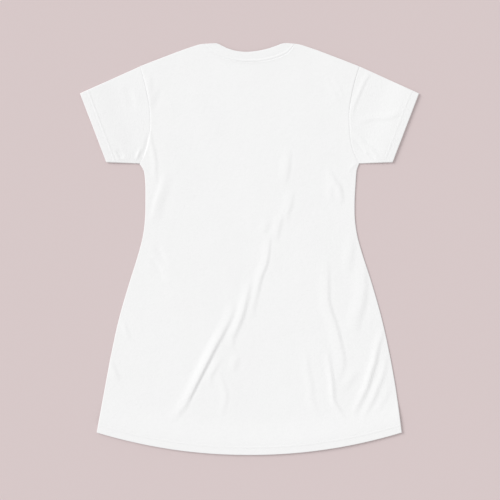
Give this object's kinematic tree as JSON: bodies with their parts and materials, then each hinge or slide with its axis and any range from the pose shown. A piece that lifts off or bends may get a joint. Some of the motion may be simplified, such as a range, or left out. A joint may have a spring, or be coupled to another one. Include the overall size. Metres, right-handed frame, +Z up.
{
  "type": "t-shirt dress",
  "caption": "Short-sleeved T-shirt dress with a banded round neck and a flared skirt, laid flat with its back up.",
  "frame": {"origin": "on the surface that the dress lies on, under the middle of the laid-out dress", "axes": "+X across the dress, to the right of someone looking down on its back; +Y from hem to neck; +Z up, away from the surface"},
  "size_m": [0.7232, 0.88, 0.0056],
  "materials": {
    "jersey": "matte single jersey, plain white",
    "rib": "matte fine rib, plain white",
    "thread": "white sewing thread"
  },
  "bodies": {
    "root": {"front_panel": "jersey", "back_panel": "jersey", "sleeve_left": "jersey", "sleeve_right": "jersey", "neck_band": "rib"}
  },
  "joints": []
}
